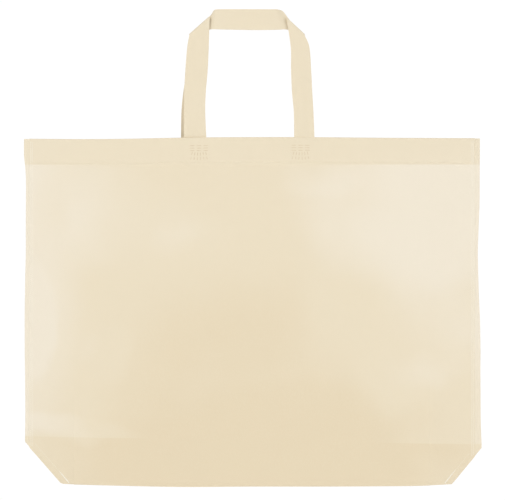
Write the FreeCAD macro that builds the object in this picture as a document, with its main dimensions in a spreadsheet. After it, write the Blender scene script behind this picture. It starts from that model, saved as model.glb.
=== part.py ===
import FreeCAD, Part
import os
import Sketcher

# A flat non-woven shopping bag: two cloth panels, side sections, a folded bottom gusset, turned-in hems,
# welded seams and two ribbon handles. X runs to the right, Y to the back, Z up to the handles, and the
# origin is under the middle of the bag. The bag is drawn slightly open, with each fold turned by
# rest_angle away from flat, and every section of cloth is a plate that starts at its own fold line.

DIMENSIONS = [
    ("bag_width", 500),
    ("bag_height", 382),
    ("gusset_depth", 50),
    ("cloth", 0.5),
    ("rest_angle", 7),
    ("hem_depth", 30),
    ("seam_width", 4.5),
    ("left_cut_width", 41),
    ("left_cut_height", 46.5),
    ("right_cut_width", 33),
    ("right_cut_height", 39.5),
    ("ribbon_width", 22.5),
    ("ribbon_spacing", 120),
    ("ribbon_lean", 3),
    ("ribbon_rise", 141.5),
    ("ribbon_fold", 25.5),
    ("ribbon_tab", 28),
    ("front_shift", -2.5),
    ("back_shift", -5),
    ("fold_gap", 0.15),
    ("hinge_gap", 0.3),
    ("seam_gap", 0.7),
    ("weld_width", 1.2),
    ("weld_cloth", 0.1),
    ("weld_sink", 0.15),
    ("weld_inset", 4.5),
    ("hem_weld_offset", 2),
    ("stamp_size", 18),
    ("stamp_pitch", 4.2),
    ("stamp_drop", 24),
    ("stamp_shift", 4.2),
]

ZERO = "0"
CLOTH = "Dimensions.cloth"
ANGLE = "Dimensions.rest_angle"
DEPTH = "Dimensions.gusset_depth"
HEIGHT = "Dimensions.bag_height"
HEM_FOOT = "(Dimensions.bag_height - Dimensions.hem_depth)"
GAP = "Dimensions.fold_gap"
SEAM_GAP = "Dimensions.seam_gap"
SEAM_WIDTH = "Dimensions.seam_width"
RIBBON = "Dimensions.ribbon_width"
WELD_CLOTH = "Dimensions.weld_cloth"
WELD_SINK = "Dimensions.weld_sink"

# The crease where a panel turns into a side section, the seam, and the inner face of the panels.
CREASE = f"(Dimensions.bag_width / 2 - {SEAM_WIDTH} - {DEPTH})"
SEAM = f"({CREASE} + {DEPTH} * cos({ANGLE}))"
INNER = f"({DEPTH} * sin({ANGLE}) + {CLOTH} * cos({ANGLE}))"
SIDE_END = f"({DEPTH} - {SEAM_GAP})"

STAMP_BARS = 5
FACES = {"front": -1, "back": 1}
SIDES = {"left": -1, "right": 1}
ALONG_X = FreeCAD.Vector(1, 0, 0)
ALONG_Z = FreeCAD.Vector(0, 0, 1)

doc = FreeCAD.newDocument("ShoppingBag")
subparts = []


def make_sheet():
    sheet = doc.addObject("Spreadsheet::Sheet", "Dimensions")
    for row, (alias, value) in enumerate(DIMENSIONS, start=1):
        sheet.set(f"A{row}", alias)
        sheet.set(f"B{row}", str(value))
        sheet.setAlias(f"B{row}", alias)
    doc.recompute()


def origin_plane(body, role):
    return next(feature for feature in body.Origin.OriginFeatures if feature.Role == role)


def outline_sketch(body, name, corners, shift):
    """A closed outline in the body's XZ plane, shifted along +Y, with each corner at its bound (x, z)."""
    sketch = body.newObject("Sketcher::SketchObject", name)
    sketch.AttachmentSupport = [(origin_plane(body, "XZ_Plane"), "")]
    sketch.MapMode = "FlatFace"
    sketch.setExpression("AttachmentOffset.Base.z", f"-1 * {shift}")
    points = []
    for across, up in corners:
        points.append(FreeCAD.Vector(sketch.evalExpression(across), sketch.evalExpression(up), 0))
    for index, point in enumerate(points):
        sketch.addGeometry(Part.LineSegment(point, points[(index + 1) % len(points)]))
    for index, (across, up) in enumerate(corners):
        previous = (index - 1) % len(corners)
        sketch.addConstraint(Sketcher.Constraint("Coincident", previous, 2, index, 1))
        bind_distance(sketch, "DistanceX", index, points[index].x, across)
        bind_distance(sketch, "DistanceY", index, points[index].y, up)
    return sketch


def bind_distance(sketch, kind, line, value, expression):
    """Hold the start of a line at a bound distance from the sketch's origin."""
    number = sketch.addConstraint(Sketcher.Constraint(kind, -1, 1, line, 1, value))
    sketch.setExpression(f"Constraints[{number}]", expression)


def plate(name, corners, thickness, direction, shift=ZERO):
    """A flat plate with this outline, from the shifted plane towards +Y (direction 1) or -Y (-1)."""
    body = doc.addObject("PartDesign::Body", name)
    body.Label = name
    pad = body.newObject("PartDesign::Pad", name + "_pad")
    pad.Profile = outline_sketch(body, name + "_outline", corners, shift)
    pad.setExpression("Length", thickness)
    pad.Reversed = direction > 0
    body.Tip = pad
    subparts.append(body)
    return body


def press_in(body, name, corners, face):
    """Press a weld's outline into the outer face of a plate of cloth, as deep as weld_sink."""
    pocket = body.newObject("PartDesign::Pocket", name + "_pocket")
    pocket.Profile = outline_sketch(body, name + "_pressed", corners, f"{face} * {CLOTH}")
    pocket.setExpression("Length", WELD_SINK)
    pocket.Reversed = face > 0
    body.Tip = pocket


def weld(name, corners, face):
    """The fused cloth at the foot of a pressed-in outline, below the outer face of the cloth around it."""
    return plate(name, corners, WELD_CLOTH, face, f"{face} * ({CLOTH} - {WELD_SINK})")


def rectangle(left, bottom, right, top):
    return [(left, bottom), (right, bottom), (right, top), (left, top)]


def mirrored(side, corners):
    return [(f"{side} * ({across})", up) for across, up in corners]


def put(part, across, depth, axis=None):
    """Bind the part's fold line to its place, turned by the rest angle about the axis given."""
    if axis is not None:
        part.Placement = FreeCAD.Placement(FreeCAD.Vector(), FreeCAD.Rotation(axis, 1))
        part.setExpression("Placement.Rotation.Angle", ANGLE)
    part.setExpression("Placement.Base.x", across)
    part.setExpression("Placement.Base.y", depth)


def panel_frame(part, face):
    put(part, ZERO, f"{face} * {INNER}")


def side_frame(part, face, side):
    put(part, f"{side} * {CREASE}", f"{face} * {INNER}", ALONG_Z * (-face * side))


def gusset_frame(part, face):
    put(part, ZERO, f"{face} * {INNER}", ALONG_X * face)


# ---- front and back panels, with their hem layer and its weld line ----

def panel(face_name, face):
    """The panel between its creases, with its hem weld and its handle stamps pressed in."""
    edge = f"({CREASE} - {GAP})"
    cloth = plate(f"{face_name}_panel", rectangle(f"-{edge}", ZERO, edge, HEIGHT), CLOTH, face)
    panel_frame(cloth, face)
    press_in(cloth, f"{face_name}_hem_weld", panel_hem_weld_outline(), face)
    fused = weld(f"{face_name}_hem_weld", panel_hem_weld_outline(), face)
    panel_frame(fused, face)
    for side_name, side in SIDES.items():
        for row in range(STAMP_BARS):
            press_in(cloth, f"{face_name}_{side_name}_stamp_{row}", stamp_outline(face_name, side, row), face)


def panel_hem(face_name, face):
    edge = f"({CREASE} - {SEAM_GAP})"
    hem = plate(f"{face_name}_hem", rectangle(f"-{edge}", HEM_FOOT, edge, HEIGHT), CLOTH, -face)
    panel_frame(hem, face)


def hem_weld_outline(start, end):
    bottom = f"{HEM_FOOT} + Dimensions.hem_weld_offset"
    return rectangle(start, bottom, end, f"{bottom} + Dimensions.weld_width")


def panel_hem_weld_outline():
    edge = f"({CREASE} - {SEAM_GAP})"
    return hem_weld_outline(f"-{edge}", edge)


# ---- side sections: half of each side of the open bag, cut off diagonally at the bottom ----

def cut_start(side_name):
    """Distance from the crease to the foot of the diagonal cut."""
    return f"({DEPTH} + {SEAM_WIDTH} - Dimensions.{side_name}_cut_width)"


def cut_height_at(side_name, distance):
    """Height of the diagonal cut at a distance from the crease."""
    slope = f"Dimensions.{side_name}_cut_height / Dimensions.{side_name}_cut_width"
    return f"({distance} - {cut_start(side_name)}) * {slope}"


def side_section(face_name, face, side_name, side):
    corners = [
        (GAP, ZERO),
        (cut_start(side_name), ZERO),
        (SIDE_END, cut_height_at(side_name, SIDE_END)),
        (SIDE_END, HEIGHT),
        (GAP, HEIGHT),
    ]
    cloth = plate(f"{face_name}_{side_name}_side", mirrored(side, corners), CLOTH, face)
    side_frame(cloth, face, side)
    welds = {
        f"{face_name}_{side_name}_hem_weld": hem_weld_outline(SEAM_GAP, SIDE_END),
        f"{face_name}_{side_name}_corner_weld": corner_weld_outline(side_name),
    }
    for name, outline in welds.items():
        press_in(cloth, name, mirrored(side, outline), face)
        side_frame(weld(name, mirrored(side, outline), face), face, side)


def side_hem(face_name, face, side_name, side):
    corners = mirrored(side, rectangle(SEAM_GAP, HEM_FOOT, SIDE_END, HEIGHT))
    hem = plate(f"{face_name}_{side_name}_hem", corners, CLOTH, -face)
    side_frame(hem, face, side)


def corner_weld_outline(side_name):
    """The fused line that runs beside the diagonal cut."""
    width = f"Dimensions.{side_name}_cut_width"
    height = f"Dimensions.{side_name}_cut_height"
    length = f"sqrt({width} ^ 2 + {height} ^ 2)"
    near = "Dimensions.weld_inset"
    far = "(Dimensions.weld_inset + Dimensions.weld_width)"
    end_height = cut_height_at(side_name, SIDE_END)
    return [
        (f"{cut_start(side_name)} - {near} * {length} / {height}", ZERO),
        (SIDE_END, f"{end_height} + {near} * {length} / {width}"),
        (SIDE_END, f"{end_height} + {far} * {length} / {width}"),
        (f"{cut_start(side_name)} - {far} * {length} / {height}", ZERO),
    ]


# ---- bottom gusset: two halves that meet at the fold inside the bag, and their four ends ----

def gusset_half(face_name, face):
    edge = f"({CREASE} - {GAP})"
    corners = rectangle(f"-{edge}", "Dimensions.hinge_gap", edge, f"{DEPTH} - {GAP}")
    cloth = plate(f"gusset_{face_name}", corners, CLOTH, -face)
    gusset_frame(cloth, face)


def gusset_end(face_name, face, side_name, side):
    """The triangle beyond the crease, bounded by the diagonal along which it folds upwards."""
    start = f"{CREASE} + {GAP}"
    top = f"{DEPTH} - {GAP}"
    corners = [
        (start, f"{GAP} + {SEAM_GAP}"),
        (f"{CREASE} + {DEPTH} - {GAP} - {SEAM_GAP}", top),
        (start, top),
    ]
    cloth = plate(f"gusset_{face_name}_{side_name}_end", mirrored(side, corners), CLOTH, -face)
    gusset_frame(cloth, face)


# ---- side seams: front and back cloth fused into one flat strip at each edge ----

def side_seam(side_name, side):
    inner_foot = cut_height_at(side_name, f"({DEPTH} + {GAP})")
    corners = [
        (GAP, inner_foot),
        (SEAM_WIDTH, f"Dimensions.{side_name}_cut_height"),
        (SEAM_WIDTH, HEIGHT),
        (GAP, HEIGHT),
    ]
    seam = plate(f"{side_name}_side_seam", mirrored(side, corners), f"2 * {CLOTH}", 1)
    put(seam, f"{side} * {SEAM}", f"-1 * {CLOTH}")


# ---- handles: ribbons folded at 45 degrees at the top corners, with both ends welded inside the hem ----

def ribbon_edge(face_name, side, outward, lean):
    """The x of a leg's outer (outward 1) or inner (-1) edge."""
    middle = f"Dimensions.ribbon_spacing / 2 - {lean} + {outward} * {RIBBON} / 2"
    return f"({side} * ({middle}) + Dimensions.{face_name}_shift)"


def handle_tab(face_name, face, side_name, side):
    outer = ribbon_edge(face_name, side, 1, ZERO)
    inner = ribbon_edge(face_name, side, -1, ZERO)
    corners = rectangle(outer, f"{HEIGHT} - Dimensions.ribbon_tab", inner, HEIGHT)
    tab = plate(f"{face_name}_handle_{side_name}_tab", corners, CLOTH, -face, f"{-face} * {CLOTH}")
    panel_frame(tab, face)


def handle_leg(face_name, face, side_name, side):
    lean = "Dimensions.ribbon_lean"
    foot = f"{HEIGHT} + 2 * Dimensions.hinge_gap"
    fold_foot = f"{HEIGHT} + Dimensions.ribbon_rise - Dimensions.ribbon_fold"
    corners = [
        (ribbon_edge(face_name, side, -1, ZERO), foot),
        (ribbon_edge(face_name, side, 1, ZERO), foot),
        (ribbon_edge(face_name, side, 1, lean), fold_foot),
        (ribbon_edge(face_name, side, -1, lean), f"{fold_foot} + {RIBBON}"),
    ]
    leg = plate(f"{face_name}_handle_{side_name}_leg", corners, CLOTH, -face, f"{-face} * {CLOTH}")
    panel_frame(leg, face)


def handle_top(face_name, face):
    lean = "Dimensions.ribbon_lean"
    top = f"{HEIGHT} + Dimensions.ribbon_rise"
    left = ribbon_edge(face_name, -1, 1, lean)
    right = ribbon_edge(face_name, 1, 1, lean)
    fold = "Dimensions.ribbon_fold"
    corners = [
        (f"{left} + {fold} - {RIBBON}", f"{top} - {RIBBON}"),
        (f"{right} - {fold} + {RIBBON}", f"{top} - {RIBBON}"),
        (f"{right} - {fold}", top),
        (f"{left} + {fold}", top),
    ]
    ribbon = plate(f"{face_name}_handle_top", corners, CLOTH, -face, f"{-2 * face} * {CLOTH}")
    panel_frame(ribbon, face)


def stamp_outline(face_name, side, row):
    """One fused bar of the weld stamp over a handle end."""
    middle = f"({side} * (Dimensions.ribbon_spacing / 2 - Dimensions.stamp_shift) + Dimensions.{face_name}_shift)"
    half = "Dimensions.stamp_size / 2"
    bottom = f"({HEIGHT} - Dimensions.stamp_drop + {row} * Dimensions.stamp_pitch)"
    return rectangle(f"{middle} - {half}", bottom, f"{middle} + {half}", f"{bottom} + Dimensions.weld_width")


def stamp_bar(name, face_name, face, side, row):
    """The fused cloth of one stamp bar, which lies sunk in the panel."""
    bar = doc.addObject("Part::Box", name)
    bar.setExpression("Length", "Dimensions.stamp_size")
    bar.setExpression("Width", WELD_CLOTH)
    bar.setExpression("Height", "Dimensions.weld_width")
    left, bottom = stamp_outline(face_name, side, row)[0]
    foot = f"{face} * ({INNER} + {CLOTH} - {WELD_SINK})"
    bar.setExpression("Placement.Base.x", left)
    bar.setExpression("Placement.Base.y", foot if face > 0 else f"{foot} - {WELD_CLOTH}")
    bar.setExpression("Placement.Base.z", bottom)
    return bar


def handle_stamps(face_name, face):
    """Both weld stamps of one handle, as a group of bars."""
    bars = []
    for side_name, side in SIDES.items():
        for row in range(STAMP_BARS):
            bars.append(stamp_bar(f"{face_name}_{side_name}_bar_{row}", face_name, face, side, row))
    stamps = doc.addObject("Part::Compound", f"{face_name}_handle_stamps")
    stamps.Label = f"{face_name}_handle_stamps"
    stamps.Links = bars
    subparts.append(stamps)


def build():
    make_sheet()
    for face_name, face in FACES.items():
        panel(face_name, face)
        panel_hem(face_name, face)
        gusset_half(face_name, face)
        handle_stamps(face_name, face)
        handle_top(face_name, face)
        for side_name, side in SIDES.items():
            side_section(face_name, face, side_name, side)
            side_hem(face_name, face, side_name, side)
            gusset_end(face_name, face, side_name, side)
            handle_tab(face_name, face, side_name, side)
            handle_leg(face_name, face, side_name, side)
    for side_name, side in SIDES.items():
        side_seam(side_name, side)
    doc.recompute()


def check_document():
    for feature in doc.Objects:
        if "Invalid" in feature.State or "Error" in feature.State:
            raise RuntimeError(f"{feature.Name} failed: {feature.State}")
    for part in subparts:
        if part.Shape.isNull() or not part.Shape.isValid():
            raise RuntimeError(f"{part.Label} has no valid shape")


def export():
    os.makedirs("parts", exist_ok=True)
    for part in subparts:
        part.Shape.exportStep(f"parts/{part.Label}.step")
        print(part.Label, round(part.Shape.Volume, 2))


build()
check_document()
export()
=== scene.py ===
import math

import bmesh
import bpy
import numpy as np
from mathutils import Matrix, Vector


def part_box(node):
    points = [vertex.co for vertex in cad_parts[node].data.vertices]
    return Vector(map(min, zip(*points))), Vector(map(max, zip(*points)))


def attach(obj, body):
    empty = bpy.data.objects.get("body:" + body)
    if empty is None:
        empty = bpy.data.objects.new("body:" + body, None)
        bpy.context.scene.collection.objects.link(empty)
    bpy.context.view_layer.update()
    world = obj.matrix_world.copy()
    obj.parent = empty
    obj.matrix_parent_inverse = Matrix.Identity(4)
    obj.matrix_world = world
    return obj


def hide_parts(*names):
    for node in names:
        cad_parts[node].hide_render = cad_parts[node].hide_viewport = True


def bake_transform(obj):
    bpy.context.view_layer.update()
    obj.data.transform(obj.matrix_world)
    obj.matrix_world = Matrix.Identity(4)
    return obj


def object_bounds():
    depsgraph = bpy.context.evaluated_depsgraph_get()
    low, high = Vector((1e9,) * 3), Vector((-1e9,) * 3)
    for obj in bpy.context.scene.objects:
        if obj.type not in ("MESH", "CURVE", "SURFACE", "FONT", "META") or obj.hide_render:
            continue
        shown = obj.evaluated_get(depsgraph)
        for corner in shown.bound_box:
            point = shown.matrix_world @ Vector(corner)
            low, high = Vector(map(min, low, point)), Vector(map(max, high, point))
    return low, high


# The looks of a flat non-woven shopping bag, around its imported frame. Metres, X right, Y back, Z up.
# Cloth is built from mid-surface grids: rows run up the cloth, columns run across it.

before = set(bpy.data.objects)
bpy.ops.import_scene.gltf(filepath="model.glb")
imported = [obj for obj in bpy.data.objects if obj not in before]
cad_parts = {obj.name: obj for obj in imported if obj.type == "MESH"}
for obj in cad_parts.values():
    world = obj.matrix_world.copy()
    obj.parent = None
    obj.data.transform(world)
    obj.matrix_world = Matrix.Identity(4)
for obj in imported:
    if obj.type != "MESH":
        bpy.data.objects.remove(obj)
cad_low, cad_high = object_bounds()

MM = 0.001
FACES = {"front": -1, "back": 1}
SIDES = {"left": -1, "right": 1}

# ---- sizes read from the frame ----
FOLD_GAP = 0.15 * MM
panel_low, panel_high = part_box("front_panel")
seam_low, seam_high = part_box("right_side_seam")
HEIGHT = panel_high.z
CREASE = panel_high.x + FOLD_GAP
INNER = -panel_high.y
CLOTH = panel_high.y - panel_low.y
SEAM = seam_low.x - FOLD_GAP
EDGE = seam_high.x
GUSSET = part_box("gusset_front")[1].z + FOLD_GAP
HEM_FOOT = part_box("front_hem")[0].z
REST_ANGLE = math.atan2(INNER - CLOTH, SEAM - CREASE)
GUSSET_DEPTH = (SEAM - CREASE) / math.cos(REST_ANGLE)
HALF_WIDTH = CREASE + GUSSET_DEPTH + EDGE - SEAM

# ---- the diagonal cut at each bottom corner: width, height, and how far it is trimmed past the frame ----
CUT_WIDTH = {"left": 41 * MM, "right": 33 * MM}
CUT_HEIGHT = {"left": 46.5 * MM, "right": 39.5 * MM}
CUT_TRIM = {"left": -1.1 * MM, "right": 1.6 * MM}

# ---- thickness of the drawn cloth, fold radii, and how far a fold's strip reaches ----
THICKNESS = 0.45 * MM
HALF = THICKNESS / 2
MID_DEPTH = INNER + CLOTH / 2
HEM_RADIUS = 0.5 * MM
FOLD_RADIUS = 0.4 * MM
STRIP = 5 * MM


# ---- small helpers ----

def ease(value, start, end):
    """0 before start, 1 after end, smooth between them."""
    t = np.clip((value - start) / (end - start), 0, 1)
    return t * t * (3 - 2 * t)


def sheet_object(name, grid, thickness=THICKNESS):
    """A closed sheet of cloth around a grid of mid-surface points, shaped (rows, columns, 3)."""
    down = np.gradient(grid, axis=0)
    across = np.gradient(grid, axis=1)
    normal = np.cross(across, down)
    normal /= np.linalg.norm(normal, axis=2, keepdims=True)
    rows, columns = grid.shape[:2]
    faces_of_sheet = [grid + normal * thickness / 2, grid - normal * thickness / 2]
    points = np.concatenate([face.reshape(-1, 3) for face in faces_of_sheet])
    index = np.arange(rows * columns).reshape(rows, columns)
    near = quads(index)
    far = quads(index + rows * columns)[:, ::-1]
    border = np.concatenate([index[0, :-1], index[:-1, -1], index[-1, :0:-1], index[:0:-1, 0]])
    following = np.roll(border, -1)
    rim = np.stack([border, border + rows * columns, following + rows * columns, following], axis=1)
    return mesh_object(name, points, np.concatenate([near, far, rim]))


def quads(index):
    """The four-cornered faces between neighbours in a grid of point numbers."""
    return np.stack(
        [index[:-1, :-1], index[:-1, 1:], index[1:, 1:], index[1:, :-1]], axis=2
    ).reshape(-1, 4)


def mesh_object(name, points, faces, sharp_angle=50):
    """A smooth mesh of closed shells, which keeps the place of each point at rest for the materials."""
    mesh = bpy.data.meshes.new(name)
    mesh.from_pydata([tuple(p) for p in points], [], [tuple(int(i) for i in f) for f in faces])
    mesh.validate()
    mesh.update()
    mesh.shade_smooth()
    mesh.set_sharp_from_angle(angle=math.radians(sharp_angle))
    piece = bpy.data.objects.new(name, mesh)
    bpy.context.scene.collection.objects.link(piece)
    turn_faces_out(piece)
    place = mesh.attributes.new("rest_place", "FLOAT_VECTOR", "POINT")
    place.data.foreach_set("vector", np.asarray(points, np.float32).ravel())
    return piece


def turn_faces_out(piece):
    """Make every closed shell's faces point outwards."""
    work = bmesh.new()
    work.from_mesh(piece.data)
    bmesh.ops.recalc_face_normals(work, faces=work.faces)
    work.to_mesh(piece.data)
    work.free()


# ---- the soft shape of the bag ----

# The belly narrows to the seam over LENS, and grows in height from LENS_FOOT to LENS_TOP.
LENS = 125 * MM
LENS_FOOT = 55 * MM
LENS_TOP = 150 * MM
PUFF = 1.1 * MM
# (Place, offset) pairs in mm: the bowed bottom fold and the wavy top edge across the bag,
# and how far each trimmed seam stands beyond its place in the frame, from the bottom up.
BOTTOM_BOW = [
    (-209, 2.0), (-190, 1.4), (-145, 0.2), (-80, -1.1), (0, -0.7),
    (75, -0.7), (140, -0.4), (184, 0.1), (206, 0.9), (220, 1.5),
]
TOP_BOW = [
    (-245, -0.5), (-190, -1.1), (-140, -0.9), (-80, 0.3),
    (75, 0.9), (140, 0.3), (200, 0.1), (245, 0.1),
]
SEAM_TRIM = {
    "left": [
        (45, 0.3), (94, 0.1), (127, 0.45), (171, 0.8), (215, 0.4), (259, -0.45),
        (303, -0.45), (336, -0.6), (350, 0.2), (360, 1.2), (382, 1.5),
    ],
    "right": [
        (38, 3.2), (55, 2.6), (94, 2.0), (127, 1.9), (171, 1.7), (215, 0.0),
        (259, -0.9), (285, -0.1), (303, 0.7), (340, 1.1), (382, 1.3),
    ],
}
# The steps where the gusset and the hem lie behind the cloth, and the groove of the hem's weld.
GUSSET_RIDGE = 0.3 * MM
RIDGE_TILT = 0.018
HEM_RIDGE = 0.22 * MM
WELD_LINE = HEM_FOOT + 2.6 * MM
WELD_GROOVE = 0.3 * MM


def frame_depth(x):
    """Distance of the cloth's mid-surface from the middle plane in the CAD frame."""
    beyond = np.clip(np.abs(x) - CREASE, 0, None)
    return MID_DEPTH - beyond * math.tan(REST_ANGLE)


def lens_depth(x):
    """The same distance where the bag is a soft lens, full in the middle and closed at the seams."""
    share = np.clip((SEAM - np.abs(x)) / LENS, 0, 1)
    at_seam = frame_depth(SEAM)
    return at_seam + (MID_DEPTH - at_seam) * np.sin(share * math.pi / 2)


def puffs(x, z, face):
    """Broad soft waves in the hanging cloth, none at the seams and the bottom fold."""
    turn = 0.9 * face
    waves = (
        0.55 * np.sin(2 * math.pi * (x / 0.31 + 0.55 * z / 0.38) + 1.1 + turn)
        + 0.45 * np.sin(2 * math.pi * (z / 0.27 - 0.35 * x / 0.5) + 2.3 - turn)
        + 0.30 * np.sin(2 * math.pi * (x / 0.14 - z / 0.19) + 0.4 + turn)
        + 0.16 * np.sin(2 * math.pi * (x / 0.083 + z / 0.117) + 2.0 - turn)
    )
    return PUFF * waves * ease(z, 8 * MM, 70 * MM) * ease(SEAM - np.abs(x), 1 * MM, 60 * MM)


def read_curve(pairs, place):
    """The offset at a place, on a smooth curve through (place, offset) pairs in mm."""
    places, offsets = np.array(pairs, float).T
    slopes = np.gradient(offsets, places)
    place = np.clip(np.asarray(place, float) / MM, places[0], places[-1])
    index = np.clip(np.searchsorted(places, place) - 1, 0, len(places) - 2)
    span = places[index + 1] - places[index]
    t = (place - places[index]) / span
    start = offsets[index] * (1 + 2 * t) * (1 - t) ** 2 + slopes[index] * span * t * (1 - t) ** 2
    end = offsets[index + 1] * t ** 2 * (3 - 2 * t) + slopes[index + 1] * span * t ** 2 * (t - 1)
    return (start + end) * MM


def fold_rise(x):
    """How far the bottom fold lies above its place in the frame."""
    return read_curve(BOTTOM_BOW, x)


def gusset_line(x):
    """Height at which the gusset's inner fold shows through the cloth."""
    return GUSSET - RIDGE_TILT * x


def outer_depth(x, z, face):
    """Distance of the outer layer's mid-surface from the middle plane, in its soft shape."""
    soft = ease(z, LENS_FOOT, LENS_TOP)
    depth = frame_depth(x) * (1 - soft) + lens_depth(x) * soft
    depth = depth + puffs(x, z, face)
    below = 1 - ease(z, gusset_line(x) - 2.5 * MM, gusset_line(x) + 2.5 * MM)
    inside = ease(z, 8 * MM, 25 * MM) * ease(SEAM - np.abs(x), 1 * MM, 25 * MM)
    depth = depth + GUSSET_RIDGE * below * inside
    depth = depth + HEM_RIDGE * ease(z, HEM_FOOT - 1.2 * MM, HEM_FOOT + 0.8 * MM)
    groove = np.exp(-(((z - WELD_LINE) / (0.8 * MM)) ** 2))
    return depth - WELD_GROOVE * groove * ease(SEAM - np.abs(x), 0.5 * MM, 3 * MM)


def settled_height(x, z):
    """The cloth's height with the bowed bottom fold and the crowned top edge."""
    foot = fold_rise(x) * (1 - ease(z, 0, 110 * MM))
    crown = read_curve(TOP_BOW, x) * ease(z, HEIGHT - 100 * MM, HEIGHT)
    return z + foot + crown


# ---- front and back cloth, with the hem turned in ----

HEM_ARC = HEIGHT - HALF - HEM_RADIUS
ARC_STEPS = 8


def hem_gap(distance):
    """Distance between the two layers of the hem, measured down from its rounded top edge."""
    return CLOTH + (2 * HEM_RADIUS - CLOTH) * (1 - ease(distance, 0, 9 * MM))


def section_rows():
    """(height, distance inwards) from the bottom fold over the top edge to the hem's end."""
    low = np.arange(STRIP, 348 * MM, 4.6 * MM)
    line = np.arange(349.5 * MM, 358 * MM, 0.6 * MM)
    high = np.linspace(360 * MM, HEM_ARC, 6)
    rows = [(z, 0.0) for z in np.concatenate([low, line, high])]
    for step in range(1, ARC_STEPS):
        angle = math.pi * step / ARC_STEPS
        rows.append((HEM_ARC + HEM_RADIUS * math.sin(angle), HEM_RADIUS * (1 - math.cos(angle))))
    for z in np.linspace(HEM_ARC, HEM_FOOT, 9):
        rows.append((z, float(hem_gap(HEM_ARC - z))))
    return rows


def half_columns():
    """Distances from the middle of the bag, finer where the cloth bends at the crease."""
    return np.concatenate([
        np.arange(0, CREASE - 8 * MM, 4.4 * MM),
        np.arange(CREASE - 7 * MM, CREASE - 0.5 * MM, 1 * MM),
        [CREASE - 0.01 * MM, CREASE + 0.01 * MM],
        np.arange(CREASE + 1 * MM, CREASE + 7 * MM, 1 * MM),
        np.arange(CREASE + 9 * MM, SEAM - 2 * MM, 3 * MM),
        [SEAM - 1 * MM, SEAM - 0.1 * MM],
    ])


def cut_slope(side_name):
    """Rise of the diagonal cut for each metre across the bag."""
    return CUT_HEIGHT[side_name] / CUT_WIDTH[side_name]


def cut_foot(side_name):
    """Distance from the middle of the bag to the foot of the diagonal cut."""
    return HALF_WIDTH - CUT_WIDTH[side_name] + CUT_TRIM[side_name]


def cut_line(side_name, distance):
    """Height of the diagonal cut at a distance from the middle."""
    return np.clip((distance - cut_foot(side_name)) * cut_slope(side_name), 0, None)


# Above this height the cloth's rows are level, and below it they close up towards the diagonal cut.
SETTLE = 100 * MM


def cloth_half(face_name, side_name):
    """One half of the front or back cloth: half a panel and its side section, joined at the crease."""
    face, side = FACES[face_name], SIDES[side_name]
    columns = half_columns()
    corner = np.clip(cut_line(side_name, columns) - fold_rise(columns * side), 0, None)
    start = np.where(columns > CREASE, corner, STRIP)
    grid = []
    for z, inwards in section_rows():
        height = z + 0 * columns
        if z < SETTLE:
            height = start + (z - STRIP) * (SETTLE - start) / (SETTLE - STRIP)
        grid.append(cloth_row(columns * side, height, inwards, face))
    piece = sheet_object(f"{face_name}_cloth_{side_name}", np.array(grid))
    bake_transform(piece)
    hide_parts(f"{face_name}_panel", f"{face_name}_hem")
    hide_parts(f"{face_name}_{side_name}_side", f"{face_name}_{side_name}_hem")
    return piece


def cloth_row(x, height, inwards, face):
    """One row of mid-surface points of the front or back cloth."""
    depth = outer_depth(x, height, face)
    return np.stack([x, face * (depth - inwards), settled_height(x, height)], axis=1)


# ---- bottom gusset and the folded strips that join it to the cloth ----

# A gusset end stops short of the centre line and of the seam, laps over the diagonal cut, and keeps
# a lip beside the crease that rises from the fold.
CENTRE_GAP = 0.05 * MM
TIP_GAP = 0.6 * MM
CUT_LAP = 0.2 * MM
LIP = 5 * MM
LIP_RISE = 0.6 * MM


def gusset_point(x, along, face):
    """A point of a gusset half's mid-surface, at a distance along it from the bottom fold."""
    between = ease(along, 8 * MM, 20 * MM)
    wave = 0.35 * MM * np.sin(x / 0.021) * between * (1 - ease(along, 30 * MM, 42 * MM))
    depth = MID_DEPTH - CLOTH - along * math.sin(REST_ANGLE) - wave
    height = along * math.cos(REST_ANGLE) + fold_rise(x) * gusset_settle(x, along)
    return np.stack([x, face * depth, height], axis=1)


def gusset_settle(x, along):
    """The gusset follows the bowed bottom fold only near that fold, and not beyond the crease."""
    return (1 - ease(along, 0, 30 * MM)) * (1 - ease(np.abs(x), CREASE - 1 * MM, CREASE + 1 * MM))


def gusset_end_reach(side_name):
    """How far a gusset end goes past the crease, to where the diagonal cut meets the seam."""
    return (GUSSET_DEPTH - cut_foot(side_name) + CREASE) * cut_slope(side_name)


def gusset_half(face_name, side_name):
    """Half of a gusset half and its end, which fills the side below the diagonal cut in the open bag."""
    face, side = FACES[face_name], SIDES[side_name]
    reach = gusset_end_reach(side_name) - TIP_GAP
    columns = np.concatenate([
        np.arange(0, CREASE - 6 * MM, 6 * MM),
        np.arange(CREASE - 5.5 * MM, CREASE + 6 * MM, 1 * MM),
        np.linspace(CREASE + 8 * MM, CREASE + reach, 14),
    ])
    beyond = columns - CREASE
    cut = cut_foot(side_name) - CREASE + beyond / cut_slope(side_name) + CUT_LAP
    lip = beyond + LIP_RISE
    low = np.where(beyond > 0, lip + (cut - lip) * ease(beyond, LIP / 2, LIP), STRIP)
    high = GUSSET_DEPTH - CENTRE_GAP - (STRIP - CENTRE_GAP) * (1 - ease(beyond, -0.5 * MM, 0.5 * MM))
    grid = []
    for share in np.linspace(0, 1, 13):
        grid.append(gusset_point(columns * side, low + (high - low) * share, face))
    piece = sheet_object(f"gusset_{face_name}_cloth_{side_name}", np.array(grid))
    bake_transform(piece)
    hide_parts(f"gusset_{face_name}", f"gusset_{face_name}_{side_name}_end")
    return piece


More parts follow.
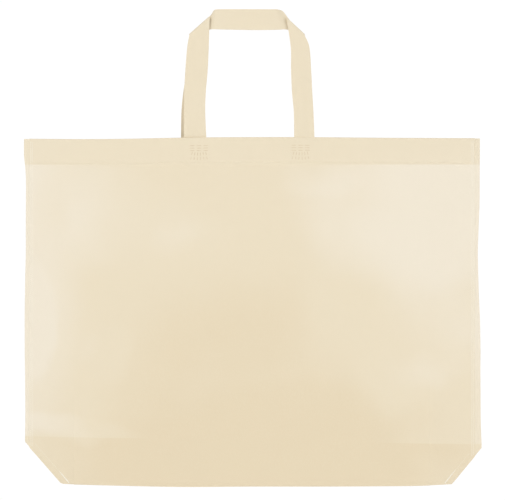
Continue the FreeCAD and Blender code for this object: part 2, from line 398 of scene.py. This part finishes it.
def bottom_fold(face_name):
    """The rounded fold where the front or back cloth turns into the gusset."""
    face = FACES[face_name]
    x = np.linspace(-CREASE, CREASE, 90)
    grid = []
    for z in np.linspace(STRIP, FOLD_RADIUS, 5):
        spread = (FOLD_RADIUS - CLOTH / 2) * (1 - ease(z, 0, STRIP))
        grid.append(cloth_row(x, z + 0 * x, -spread, face))
    for step in range(1, ARC_STEPS):
        angle = math.pi * step / ARC_STEPS
        inwards = CLOTH / 2 - FOLD_RADIUS * math.cos(angle)
        grid.append(cloth_row(x, FOLD_RADIUS * (1 - math.sin(angle)) + 0 * x, inwards, face))
    for along in np.linspace(FOLD_RADIUS, STRIP, 5):
        spread = (FOLD_RADIUS - CLOTH / 2) * (1 - ease(along, 0, STRIP))
        row = gusset_point(x, along + 0 * x, face)
        row[:, 1] -= face * spread
        grid.append(row)
    piece = sheet_object(f"{face_name}_bottom_fold", np.array(grid))
    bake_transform(piece)
    return piece


def centre_fold():
    """The fold inside the bag where the two gusset halves meet."""
    x = np.linspace(-CREASE, CREASE, 60)
    top = GUSSET_DEPTH * math.cos(REST_ANGLE) - FOLD_RADIUS
    grid = []
    for along in np.linspace(GUSSET_DEPTH - STRIP, GUSSET_DEPTH - 1 * MM, 4):
        grid.append(gusset_point(x, along + 0 * x, -1))
    for step in range(1, ARC_STEPS):
        angle = math.pi * step / ARC_STEPS
        rise = top + FOLD_RADIUS * math.sin(angle)
        grid.append(np.stack([x, 0 * x - FOLD_RADIUS * math.cos(angle), 0 * x + rise], axis=1))
    for along in np.linspace(GUSSET_DEPTH - 1 * MM, GUSSET_DEPTH - STRIP, 4):
        grid.append(gusset_point(x, along + 0 * x, 1))
    piece = sheet_object("gusset_centre_fold", np.array(grid))
    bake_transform(piece)
    return piece


# ---- side seams: a trimmed, fused fin at each side ----

# Half thicknesses of the fin at its root, middle and trimmed edge, and how deep its ribs are pressed.
FIN_ROOT = 1.05 * MM
FIN_MIDDLE = 0.46 * MM
FIN_EDGE = 0.3 * MM
FIN_PINCH = 0.12 * MM
FIN_STEP = 1.2 * MM
FIN_TOP_GAP = 0.3 * MM


def fin_reach(side_name, z):
    """How far the trimmed edge stands out from the middle of the bag at each height."""
    return EDGE + read_curve(SEAM_TRIM[side_name], z)


def fin_section(outer, thickness, pinch):
    """A closed outline in X and Y, from the rounded root to the trimmed edge and back."""
    span = outer - SEAM
    across = [(-0.9, 0.55), (0, 1.0), (0.9, 0.72)]
    upper = [(SEAM + a * FIN_ROOT, FIN_ROOT * d) for a, d in across]
    for share in (0.35, 0.5, 0.65, 0.85):
        dent = pinch if share == 0.5 else 0
        upper.append((SEAM + span * share, thickness - dent))
    upper.append((outer, FIN_EDGE))
    lower = [(x, -y) for x, y in reversed(upper)]
    return upper + lower


def seam_fin(side_name):
    """The fin of one side seam: ribbed sections from the diagonal cut up to the top edge."""
    side = SIDES[side_name]
    foot = cut_line(side_name, SEAM + FOLD_GAP)
    slope = cut_slope(side_name)
    top = float(settled_height(side * SEAM, HEIGHT)) - FIN_TOP_GAP
    heights = np.linspace(foot, top, round((top - foot) / FIN_STEP))
    points = []
    for number, z in enumerate(heights):
        outer = fin_reach(side_name, z)
        ripple = 0.05 * MM * math.sin(z / 0.0071) + 0.03 * MM * math.sin(z / 0.0023 + 1)
        pinch = FIN_PINCH if number % 2 else 0
        slant = slope * (1 - ease(z, foot, foot + 30 * MM))
        for x, y in fin_section(outer + ripple, FIN_MIDDLE, pinch):
            lift = (x - SEAM) * slant if x > SEAM else 0
            points.append((side * x, y, z + lift))
    ring = len(points) // len(heights)
    faces = []
    for level in range(len(heights) - 1):
        for corner in range(ring):
            following = (corner + 1) % ring
            faces.append((
                level * ring + corner, level * ring + following,
                (level + 1) * ring + following, (level + 1) * ring + corner,
            ))
    faces.append(tuple(range(ring)))
    faces.append(tuple(range(len(points) - ring, len(points))))
    piece = mesh_object(f"{side_name}_seam_fin", points, faces)
    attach(piece, f"{side_name}_side_seam")
    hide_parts(f"{side_name}_side_seam")
    return piece


# ---- welds: rows of small fused dots and dashes pressed into the cloth ----

PAD_CORNERS = 8
PAD_RISE = 0.05 * MM
PAD_SINK = 0.1 * MM


def pads(name, marks, face):
    """One object of rounded dashes in the outer face of the cloth, one for each mark.

    A mark is (x, z, half its length, half its width, its angle in the plane of the cloth)."""
    x, z, half_long, half_wide, angle = np.array(marks, float).T[:, :, None, None]
    turn = 2 * math.pi * (np.arange(PAD_CORNERS) + 0.5) / PAD_CORNERS
    level = np.array([-PAD_SINK, 0.0, PAD_RISE])[:, None]
    scale = np.array([1.0, 1.0, 0.72])[:, None]
    long = half_long * scale * rounded(np.cos(turn))
    wide = half_wide * scale * rounded(np.sin(turn))
    px = x + long * np.cos(angle) - wide * np.sin(angle)
    pz = z + long * np.sin(angle) + wide * np.cos(angle)
    depth = outer_depth(px, pz, face) + HALF + level
    points = np.stack([px, face * depth, settled_height(px, pz)], axis=-1).reshape(-1, 3)
    faces = []
    for start in range(0, len(points), 3 * PAD_CORNERS):
        for corner in range(2 * PAD_CORNERS):
            low = start + corner
            following = low + 1 if (corner + 1) % PAD_CORNERS else low + 1 - PAD_CORNERS
            faces.append((low, following, following + PAD_CORNERS, low + PAD_CORNERS))
        faces.append(tuple(range(start, start + PAD_CORNERS)))
        faces.append(tuple(range(start + 2 * PAD_CORNERS, start + 3 * PAD_CORNERS)))
    return mesh_object(name, points, faces, sharp_angle=70)


def rounded(value):
    """A circle's sine or cosine carried towards a rounded rectangle's."""
    return np.copysign(np.abs(value) ** 0.6, value)


# Pitch of the marks, and half length and half width of a mark: along the hem, and beside a side seam.
HEM_PITCH = 3.2 * MM
HEM_DASH = (1.05 * MM, 0.42 * MM)
SEAM_PITCH = 2.2 * MM
SEAM_DOT = (0.62 * MM, 0.42 * MM)

# How far the rows lie from the side seam and from the diagonal cut.
SEAM_ROWS = (1.5 * MM, 3.3 * MM)
CORNER_INSET = 5.8 * MM


def hem_weld(face_name, side_name):
    """The dashed weld that holds the hem, across half a panel and its side section."""
    face, side = FACES[face_name], SIDES[side_name]
    marks = []
    for x in np.arange(HEM_PITCH / 2, SEAM - 2 * MM, HEM_PITCH):
        marks.append((side * x, WELD_LINE, *HEM_DASH, 0))
    piece = pads(f"{face_name}_hem_weld_dots_{side_name}", marks, face)
    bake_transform(piece)
    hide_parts(f"{face_name}_hem_weld", f"{face_name}_{side_name}_hem_weld")
    return piece


def side_weld(face_name, side_name):
    """Two dotted rows just inside the side seam, and one beside the diagonal cut."""
    face, side = FACES[face_name], SIDES[side_name]
    marks = []
    for row, inset in enumerate(SEAM_ROWS):
        x = SEAM - inset
        foot = float(cut_line(side_name, x)) + 3 * MM
        for z in np.arange(foot + row * SEAM_PITCH / 2, HEIGHT - 3 * MM, SEAM_PITCH):
            marks.append((side * x, z, *SEAM_DOT, math.pi / 2))
    tilt = math.atan(cut_slope(side_name))
    inset = CORNER_INSET / math.sin(tilt)
    start = cut_foot(side_name) - inset
    for x in np.arange(start + 1.5 * MM, SEAM - 6 * MM, SEAM_PITCH * math.cos(tilt)):
        # Near the cut's foot the dots grow, so their painted highlight shows as a short bright line there.
        near_foot = 1 - float(ease(x - start, 8 * MM, 14 * MM))
        z = (x - start) * cut_slope(side_name) + 0.6 * MM
        half_long = (0.5 + 0.65 * near_foot) * MM
        half_wide = (0.26 + 0.42 * near_foot) * MM
        marks.append((side * x, z, half_long, half_wide, side * tilt))
    piece = pads(f"{face_name}_{side_name}_seam_dots", marks, face)
    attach(piece, f"{face_name}_{side_name}_side")
    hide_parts(f"{face_name}_{side_name}_corner_weld")
    return piece


# A stamp's top row, its shift from the tab's middle towards the bag's, and its dashes as above.
STAMP_TOP = HEIGHT - 9 * MM
STAMP_SHIFT = 4.2 * MM
STAMP_PITCH = 7.4 * MM
STAMP_DASH = (2.8 * MM, 0.42 * MM)


def stamp_marks(middle):
    """Three rows of dashes over two rows of short bars that fan out."""
    marks = []
    for row in range(3):
        for place in (-1, 0, 1):
            marks.append((middle + place * STAMP_PITCH, STAMP_TOP - row * 2.7 * MM, *STAMP_DASH, 0))
    for ring, length in ((0, 2.0 * MM), (1, 1.7 * MM)):
        for place in np.arange(-2.5, 3):
            x = middle + place * (3.1 + ring * 0.4) * MM
            z = STAMP_TOP - (9.4 + ring * 4.9) * MM + abs(place) * 0.3 * MM
            marks.append((x, z, length, 0.45 * MM, math.pi / 2 + place * 0.1))
    return marks


def handle_stamp(face_name):
    """The two weld stamps that hold a handle."""
    marks = []
    for side_name, side in SIDES.items():
        tab_low, tab_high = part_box(f"{face_name}_handle_{side_name}_tab")
        marks += stamp_marks((tab_low.x + tab_high.x) / 2 - side * STAMP_SHIFT)
    piece = pads(f"{face_name}_handle_weld", marks, FACES[face_name])
    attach(piece, f"{face_name}_panel")
    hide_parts(f"{face_name}_handle_stamps")
    return piece


# ---- ribbon handles ----

# The ribbon's thickness.
RIBBON_THICKNESS = 0.5 * MM


def ribbon_layout(face_name):
    """Edge points of one handle, in mm: x from the middle and height above the bag's top edge.

    Each leg has its outer and inner edge from foot to fold, then the top stretch has its lower and
    upper edge from the left fold to the right one."""
    if face_name == "front":
        return {
            "left": [
                ((-75.0, -50.2), 0), ((-74.9, -51.4), 28), ((-74.6, -50.8), 50),
                ((-73.2, -48.6), 76), ((-71.2, -47.6), 100),
            ],
            "right": [
                ((68.6, 46.2), 0), ((67.5, 45.9), 28), ((66.2, 43.9), 50),
                ((64.9, 42.8), 76), ((63.0, 42.5), 100),
            ],
            "left_fold": ((-68.8, 113.4), (-46.4, 133.2)),
            "right_fold": ((57.6, 113.2), (37.8, 131.8)),
            "top_low": 119.4,
            "top_high": 141.5,
        }
    return {
        "left": [
            ((-78.4, -56.0), 0), ((-78.0, -55.6), 28), ((-76.0, -53.8), 50),
            ((-72.0, -50.2), 76), ((-69.4, -47.8), 100),
        ],
        "right": [
            ((68.0, 47.2), 0), ((67.0, 47.0), 28), ((65.6, 46.0), 50),
            ((64.0, 44.6), 76), ((62.4, 43.8), 100),
        ],
        "left_fold": ((-68.8, 112.6), (-47.6, 131.2)),
        "right_fold": ((58.0, 112.6), (40.0, 130.6)),
        "top_low": 120.2,
        "top_high": 140.2,
    }


def smooth_path(points, steps):
    """A Catmull-Rom curve through the points, with steps spans between each two."""
    points = np.array(points, float)
    padded = np.vstack([2 * points[0] - points[1], points, 2 * points[-1] - points[-2]])
    path = []
    for index in range(1, len(padded) - 2):
        a, b, c, d = padded[index - 1:index + 3]
        for t in np.linspace(0, 1, steps, endpoint=False):
            square = (2 * a - 5 * b + 4 * c - d) * t ** 2
            cube = (3 * b - a - 3 * c + d) * t ** 3
            path.append(0.5 * (2 * b + (c - a) * t + square + cube))
    path.append(points[-1])
    return np.array(path)


def leg_rungs(layout, side_name):
    """Rungs across a leg as (outer point, inner point), from the end inside the hem up to the fold."""
    feet = layout[side_name]
    outer = [(edges[0], height) for edges, height in feet]
    inner = [(edges[1], height) for edges, height in feet]
    fold_low, fold_high = layout[side_name + "_fold"]
    outer = [(outer[0][0], -28), (outer[0][0], -10)] + outer + [fold_low]
    inner = [(inner[0][0], -28), (inner[0][0], -10)] + inner + [fold_high]
    return np.stack([smooth_path(outer, 6), smooth_path(inner, 6)], axis=1)


def top_rungs(layout):
    """Rungs across the top stretch as (lower point, upper point), from the left fold to the right."""
    low, high = layout["top_low"], layout["top_high"]
    left_low, left_high = layout["left_fold"]
    right_low, right_high = layout["right_fold"]
    lower = [
        left_low, (left_low[0] + 9, low - 3.2), (-46, low), (-30, low), (0, low - 0.6),
        (24, low - 0.4), (right_low[0] - 20, low), (right_low[0] - 8, low - 2.6), right_low,
    ]
    upper = [
        left_high, (left_high[0] + 2.6, high - 4.2), (-41.8, high - 1.2), (-36.5, high), (-8, high + 0.1),
        (20, high), (28.2, high - 0.1), (34.2, high - 2.2), right_high,
    ]
    return np.stack([smooth_path(lower, 6), smooth_path(upper, 6)], axis=1)


def handle_ribbon(face_name):
    """One ribbon from tab to tab, folded over at both top corners with the top stretch behind the legs."""
    face = FACES[face_name]
    layout = ribbon_layout(face_name)
    legs = {name: leg_rungs(layout, name) for name in SIDES}
    top = top_rungs(layout)
    leg_layer = INNER - 1.5 * CLOTH
    rows = []
    for rung in legs["left"]:
        rows.append(ribbon_row(rung, leg_layer + leg_bulge(rung), face))
    rows += fold_rows(legs["left"][-1], top[0], leg_layer, face)
    for number, rung in enumerate(top):
        rows.append(ribbon_row(rung, top_depth(leg_layer, number / (len(top) - 1)), face))
    rows += fold_rows(top[-1], legs["right"][-1], leg_layer, face, back_first=True)
    for rung in legs["right"][::-1]:
        rows.append(ribbon_row(rung, leg_layer + leg_bulge(rung), face))
    piece = sheet_object(f"{face_name}_ribbon", np.array(rows), RIBBON_THICKNESS)
    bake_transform(piece)
    parts = [f"{face_name}_handle_{side}_{part}" for side in SIDES for part in ("tab", "leg")]
    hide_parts(f"{face_name}_handle_top", *parts)
    return piece


RIBBON_COLUMNS = 9


def ribbon_row(rung, depth, face):
    """Points across the ribbon, with its edges curling slightly backwards."""
    share = np.linspace(0, 1, RIBBON_COLUMNS)[:, None]
    flat = rung[0] * (1 - share) + rung[1] * share
    curl = 0.35 * MM * (np.abs(share[:, 0] * 2 - 1) ** 3)
    height = HEIGHT + flat[:, 1] * MM
    lifted = ease(height, HEIGHT + 6 * MM, HEIGHT + 40 * MM)
    return np.stack([flat[:, 0] * MM, face * (depth - curl * lifted), height], axis=1)


def leg_bulge(rung):
    """The legs stand a little proud towards the folded corners and bow gently along their length."""
    height = float(rung[:, 1].mean()) * MM
    corner = ease(height, 70 * MM, 122 * MM)
    return float(1.1 * MM * corner + 0.5 * MM * math.sin(max(height, 0) / 0.021))


def top_depth(leg_layer, share):
    """The top stretch lies behind the legs, deepest beside the folds."""
    from_fold = min(share, 1 - share)
    return leg_layer - 0.8 * MM - 2.4 * MM * (1 - float(ease(from_fold, 0.16, 0.33)))


def fold_rows(first, second, leg_layer, face, back_first=False):
    """Rounded rows around a folded corner, parallel to the fold line."""
    line = (first + second) / 2
    direction = line[1] - line[0]
    outward = np.array([-direction[1], direction[0]]) / np.linalg.norm(direction)
    if outward[1] < 0:
        outward = -outward
    front = leg_layer + leg_bulge(line)
    back = top_depth(leg_layer, 0)
    radius = (front - back) / 2
    rows = []
    for step in range(1, ARC_STEPS):
        angle = math.pi * step / ARC_STEPS
        if back_first:
            angle = math.pi - angle
        depth = (front + back) / 2 + radius * math.cos(angle)
        rows.append(ribbon_row(line + outward * math.sin(angle) * 0.7, depth, face))
    return rows


# ---- materials ----

class Nodes:
    """Short names for making and joining the nodes of one material."""

    def __init__(self, name):
        self.material = bpy.data.materials.new(name)
        self.material.use_nodes = True
        self.tree = self.material.node_tree
        self.shader = self.tree.nodes["Principled BSDF"]
        self.place = self.add("ShaderNodeAttribute", attribute_name="rest_place").outputs["Vector"]

    def add(self, kind, **settings):
        node = self.tree.nodes.new(kind)
        for key, value in settings.items():
            setattr(node, key, value)
        return node

    def join(self, source, target):
        if isinstance(source, (int, float)):
            target.default_value = source
        else:
            self.tree.links.new(source, target)

    def math(self, operation, first, second=0.0):
        node = self.add("ShaderNodeMath", operation=operation)
        self.join(first, node.inputs[0])
        self.join(second, node.inputs[1])
        return node.outputs[0]

    def span(self, value, start, end, low=0.0, high=1.0):
        """The value carried smoothly from start..end to low..high."""
        node = self.add("ShaderNodeMapRange", interpolation_type="SMOOTHSTEP")
        self.join(value, node.inputs["Value"])
        for socket, number in (("From Min", start), ("From Max", end), ("To Min", low), ("To Max", high)):
            node.inputs[socket].default_value = number
        return node.outputs["Result"]

    def noise(self, scale, detail=2.0, stretch=(1, 1, 1)):
        """Soft random values that stay with the cloth in a pose."""
        mapping = self.add("ShaderNodeMapping")
        mapping.inputs["Scale"].default_value = stretch
        self.join(self.place, mapping.inputs["Vector"])
        node = self.add("ShaderNodeTexNoise")
        node.inputs["Scale"].default_value = scale
        node.inputs["Detail"].default_value = detail
        self.join(mapping.outputs[0], node.inputs["Vector"])
        return node.outputs["Fac"]

    def mix(self, share, first, second):
        """The first colour carried towards the second, by a share from 0 to 1."""
        node = self.add("ShaderNodeMix", data_type="RGBA")
        self.join(share, node.inputs["Factor"])
        for color, socket in ((first, node.inputs["A"]), (second, node.inputs["B"])):
            if isinstance(color, tuple):
                socket.default_value = (*color, 1)
            else:
                self.tree.links.new(color, socket)
        return node.outputs["Result"]


# Scales of the noise: broad tones on the bag, on the gusset and handles, loose fibres, melted grain.
BROAD_SCALE = 7.5
SMALL_SCALE = 22
FIBRE_SCALE = 1400
GRAIN_SCALE = 600

# The cloth's colour goes from WARM to CREAM to PALE as its tone goes from 0 to 0.5 to 1.
WARM = (0.800, 0.680, 0.480)
CREAM = (0.835, 0.733, 0.548)
PALE = (0.882, 0.803, 0.660)
FIBRE = (0.93, 0.87, 0.74)
BOND = (0.72, 0.60, 0.40)

# Darker and lighter colour of cloth melted by a side seam's tools, a handle's stamp and the hem's weld.
# The side seam's colours are far lighter than the cloth, partly the melted film's own colour and partly a
# painted highlight of light catching the raised dots.
FUSED_WITH_HIGHLIGHT = ((0.90, 0.83, 0.69), (0.94, 0.89, 0.77))
STAMPED = ((0.715, 0.588, 0.40), (0.785, 0.668, 0.48))
CREASED = ((0.76, 0.65, 0.46), (0.84, 0.75, 0.58))

# Tones: everywhere; painted light added towards the sides and up the bag; painted shade taken off over the
# gusset, where its layers lie behind the cloth; and the tone the hem is held near, which takes out most of
# the painted light there.
BASE_TONE = 0.20
PAINTED_SIDE_LIGHT = 0.42
PAINTED_UPPER_LIGHT = 0.30
PAINTED_GUSSET_SHADE = 0.34
HEM_TONE = 0.59

# Soft patches of painted light and painted shade: lighter where the cloth stands free, darker and warmer
# where layers lie behind it and over the bottom middle.
# centre and half size across and up the bag in mm, and strength.
PAINTED_LIGHT_AND_SHADE = [
    (165, 300, 155, 105, 0.26),
    (150, 190, 115, 115, 0.20),
    (165, 115, 55, 50, 0.15),
    (75, 335, 70, 32, 0.09),
    (-60, 270, 60, 45, 0.12),
    (-135, 295, 85, 85, 0.13),
    (-215, 320, 40, 65, -0.12),
    (-220, 150, 60, 105, 0.15),
    (-242, 180, 32, 80, 0.26),
    (-156, 144, 36, 44, 0.15),
    (-205, 64, 90, 16, 0.20),
    (-190, 22, 115, 52, 0.10),
    (240, 65, 60, 65, -0.16),
    (30, 40, 250, 85, -0.20),
    (-20, 165, 120, 70, -0.05),
]
BOND_PITCH = 2.0 * MM


def bond_points(nodes):
    """The staggered bond points of non-woven cloth, 1 in a point and 0 between them."""
    axes = nodes.add("ShaderNodeSeparateXYZ")
    nodes.join(nodes.place, axes.inputs[0])
    waves = []
    for operation in ("ADD", "SUBTRACT"):
        slanted = nodes.math(operation, axes.outputs[0], axes.outputs[2])
        waves.append(nodes.math("SINE", nodes.math("MULTIPLY", slanted, math.pi / BOND_PITCH)))
    return nodes.span(nodes.math("ABSOLUTE", nodes.math("MULTIPLY", *waves)), 0.35, 0.85)


def paint_light_and_shade(nodes, x, z):
    """The sum of the soft patches of painted light and painted shade, with uneven borders."""
    total = 0.0
    sway = nodes.math("MULTIPLY", nodes.math("SUBTRACT", nodes.noise(9), 0.5), 0.10)
    x = nodes.math("ADD", x, sway)
    z = nodes.math("SUBTRACT", z, sway)
    for centre_x, centre_z, half_x, half_z, strength in PAINTED_LIGHT_AND_SHADE:
        across = nodes.math("DIVIDE", nodes.math("SUBTRACT", x, centre_x * MM), half_x * MM)
        up = nodes.math("DIVIDE", nodes.math("SUBTRACT", z, centre_z * MM), half_z * MM)
        across = nodes.math("POWER", nodes.math("ABSOLUTE", across), 2.0)
        up = nodes.math("POWER", nodes.math("ABSOLUTE", up), 2.0)
        distance = nodes.math("ADD", across, up)
        total = nodes.math("ADD", nodes.span(distance, 0.0, 1.0, strength, 0.0), total)
    return total


def cloth_material(name, tone=0.0, with_painted_light=True, bond=0.3):
    """Cream non-woven cloth: bond points, loose fibres, and broad soft changes of tone.

    With the place-bound tones on, the colour carries painted light and painted shade that follow the place
    on the bag; bond is how strong its relief is."""
    nodes = Nodes(name)
    axes = nodes.add("ShaderNodeSeparateXYZ")
    nodes.join(nodes.place, axes.inputs[0])
    x, z = axes.outputs[0], axes.outputs[2]
    shade = nodes.span(nodes.noise(BROAD_SCALE if with_painted_light else SMALL_SCALE), 0.32, 0.70, -0.06, 0.06)
    shade = nodes.math("ADD", shade, BASE_TONE + tone)
    if with_painted_light:
        # Painted light: lighter in patches, towards the sides and up the bag; some patches are painted
        # shade.
        beside = nodes.math("ABSOLUTE", x)
        shade = nodes.math("ADD", shade, paint_light_and_shade(nodes, x, z))
        shade = nodes.math("ADD", shade, nodes.span(beside, 0.10, 0.245, 0.0, PAINTED_SIDE_LIGHT))
        shade = nodes.math("ADD", shade, nodes.span(z, 0.13, 0.31, 0.0, PAINTED_UPPER_LIGHT))
        # Painted shade where the gusset lies behind the cloth, fainter in the middle of the bag.
        tilted = nodes.math("ADD", z, nodes.math("MULTIPLY", x, RIDGE_TILT))
        inside = nodes.span(tilted, GUSSET - 0.5 * MM, GUSSET + 0.7 * MM, PAINTED_GUSSET_SHADE, 0.0)
        seen = nodes.span(beside, 0.05, 0.17, 0.1, 1.0)
        shade = nodes.math("SUBTRACT", shade, nodes.math("MULTIPLY", inside, seen))
        # On the hem the tone is held near one level, which takes out most of the painted light there.
        hem = nodes.span(z, HEM_FOOT, HEM_FOOT + 1.5 * MM, 0.0, 0.85)
        above = nodes.math("SUBTRACT", shade, HEM_TONE)
        shade = nodes.math("SUBTRACT", shade, nodes.math("MULTIPLY", hem, above))
    color = nodes.mix(nodes.span(shade, 0.0, 0.5), WARM, CREAM)
    color = nodes.mix(nodes.span(shade, 0.5, 1.0), color, PALE)
    fibres = nodes.noise(FIBRE_SCALE, 3.0, (1, 1, 0.35))
    bonds = bond_points(nodes)
    color = nodes.mix(nodes.span(fibres, 0.35, 0.75, 0.0, 0.10), color, FIBRE)
    color = nodes.mix(nodes.math("MULTIPLY", bonds, 0.10), color, BOND)
    nodes.join(color, nodes.shader.inputs["Base Color"])
    raised, pressed = nodes.math("MULTIPLY", fibres, 0.55), nodes.math("MULTIPLY", bonds, 0.8)
    relief = nodes.math("SUBTRACT", raised, pressed)
    bump = nodes.add("ShaderNodeBump")
    bump.inputs["Strength"].default_value = bond
    bump.inputs["Distance"].default_value = 0.12 * MM
    nodes.join(relief, bump.inputs["Height"])
    nodes.join(bump.outputs[0], nodes.shader.inputs["Normal"])
    nodes.join(nodes.span(bonds, 0.0, 1.0, 0.88, 0.70), nodes.shader.inputs["Roughness"])
    nodes.shader.inputs["Specular IOR Level"].default_value = 0.22
    nodes.shader.inputs["Sheen Weight"].default_value = 0.08
    nodes.shader.inputs["Sheen Roughness"].default_value = 0.6
    return nodes.material


def fused_material(name, dark, light):
    """Cloth melted to a film: smoother and slightly glossier than the cloth around it."""
    nodes = Nodes(name)
    grain = nodes.noise(GRAIN_SCALE)
    color = nodes.mix(nodes.span(grain, 0.3, 0.7), dark, light)
    nodes.join(color, nodes.shader.inputs["Base Color"])
    nodes.join(nodes.span(grain, 0.3, 0.7, 0.38, 0.55), nodes.shader.inputs["Roughness"])
    bump = nodes.add("ShaderNodeBump")
    bump.inputs["Strength"].default_value = 0.2
    bump.inputs["Distance"].default_value = 0.05 * MM
    nodes.join(grain, bump.inputs["Height"])
    nodes.join(bump.outputs[0], nodes.shader.inputs["Normal"])
    nodes.shader.inputs["Specular IOR Level"].default_value = 0.4
    return nodes.material


def dress(piece, material):
    """Give a piece this one material."""
    piece.data.materials.clear()
    piece.data.materials.append(material)


# ---- the whole bag ----

def build_bag():
    """Make every piece with its material."""
    cloth = cloth_material("bag_cloth")
    gusset = cloth_material("gusset_cloth", tone=0.15, with_painted_light=False)
    ribbon = cloth_material("handle_ribbon", tone=0.34, with_painted_light=False)
    # The seam dots' light colour is partly a painted highlight.
    fused = fused_material("fused_cloth", *FUSED_WITH_HIGHLIGHT)
    trimmed = cloth_material("trimmed_seam", tone=0.22, bond=0.12)
    stamped = fused_material("stamped_cloth", *STAMPED)
    creased = fused_material("hem_weld", *CREASED)
    for face_name in FACES:
        for side_name in SIDES:
            piece = cloth_half(face_name, side_name)
            dress(piece, cloth)
            piece = gusset_half(face_name, side_name)
            dress(piece, gusset)
            dress(hem_weld(face_name, side_name), creased)
            dress(side_weld(face_name, side_name), fused)
        piece = bottom_fold(face_name)
        dress(piece, cloth)
        dress(handle_stamp(face_name), stamped)
        piece = handle_ribbon(face_name)
        dress(piece, ribbon)
    piece = centre_fold()
    dress(piece, gusset)
    for side_name in SIDES:
        dress(seam_fin(side_name), trimmed)


# ---- floor, light and camera ----

FLOOR_DROP = 0.38
FLOOR_RADIUS = 2.6
FRAME_WIDTH = 1.1108 * 2 * EDGE
CAMERA_DISTANCE = 2.5
CAMERA_X = 0.5 * MM
CAMERA_Z = cad_high.z / 2 - 2.8 * MM
WORLD_LIGHT = 0.36
WORLD_SEEN = 1.02
LIGHT_SIZE = 1.8

# Place and power of each light.
LIGHTS = {
    "key": ((-1.3, -2.2, 1.9), 39),
    "fill": ((1.9, -2.0, 0.8), 19),
    "rear": ((0.8, 2.4, 1.6), 44),
}


def make_floor():
    """A white disc, so far below the bag that the front view doesn't show it."""
    place = (0, 0, -FLOOR_DROP)
    bpy.ops.mesh.primitive_circle_add(vertices=96, radius=FLOOR_RADIUS, fill_type="NGON", location=place)
    floor = bpy.context.object
    floor.name = "floor"
    nodes = Nodes("floor")
    nodes.shader.inputs["Base Color"].default_value = (0.9, 0.9, 0.9, 1)
    nodes.shader.inputs["Roughness"].default_value = 0.9
    nodes.shader.inputs["Emission Color"].default_value = (1, 1, 1, 1)
    nodes.shader.inputs["Emission Strength"].default_value = 0.2
    dress(floor, nodes.material)


def make_world(light, seen):
    """White all round: one strength lights the bag and another is seen behind it."""
    world = bpy.data.worlds.new("studio")
    world.use_nodes = True
    tree = world.node_tree
    background = tree.nodes["Background"]
    background.inputs["Color"].default_value = (1, 1, 1, 1)
    path = tree.nodes.new("ShaderNodeLightPath")
    strength = tree.nodes.new("ShaderNodeMix")
    strength.inputs["A"].default_value = light
    strength.inputs["B"].default_value = seen
    tree.links.new(path.outputs["Is Camera Ray"], strength.inputs["Factor"])
    tree.links.new(strength.outputs["Result"], background.inputs["Strength"])
    bpy.context.scene.world = world


def area_light(name, place, power):
    """A large square light that points at the middle of the bag."""
    light = bpy.data.lights.new(name, "AREA")
    light.shape = "SQUARE"
    light.size = LIGHT_SIZE
    light.energy = power
    lamp = bpy.data.objects.new(name, light)
    bpy.context.scene.collection.objects.link(lamp)
    lamp.location = place
    aim = Vector((0, 0, HEIGHT / 2)) - Vector(place)
    lamp.rotation_euler = aim.to_track_quat("-Z", "Y").to_euler()


def make_camera():
    """A level camera in front of the bag, with the frame's width across the picture."""
    data = bpy.data.cameras.new("camera")
    camera = bpy.data.objects.new("camera", data)
    bpy.context.scene.collection.objects.link(camera)
    camera.location = (CAMERA_X, -CAMERA_DISTANCE, CAMERA_Z)
    camera.rotation_euler = (math.radians(90), 0, 0)
    data.sensor_width = 36
    data.lens = data.sensor_width * (CAMERA_DISTANCE - MID_DEPTH) / FRAME_WIDTH
    data.clip_start = 0.05
    data.clip_end = 50
    bpy.context.scene.camera = camera


bpy.context.scene.view_settings.view_transform = "Standard"
make_camera()
make_world(WORLD_LIGHT, WORLD_SEEN)
for light_name, (light_place, light_power) in LIGHTS.items():
    area_light(light_name, light_place, light_power)
make_floor()
build_bag()
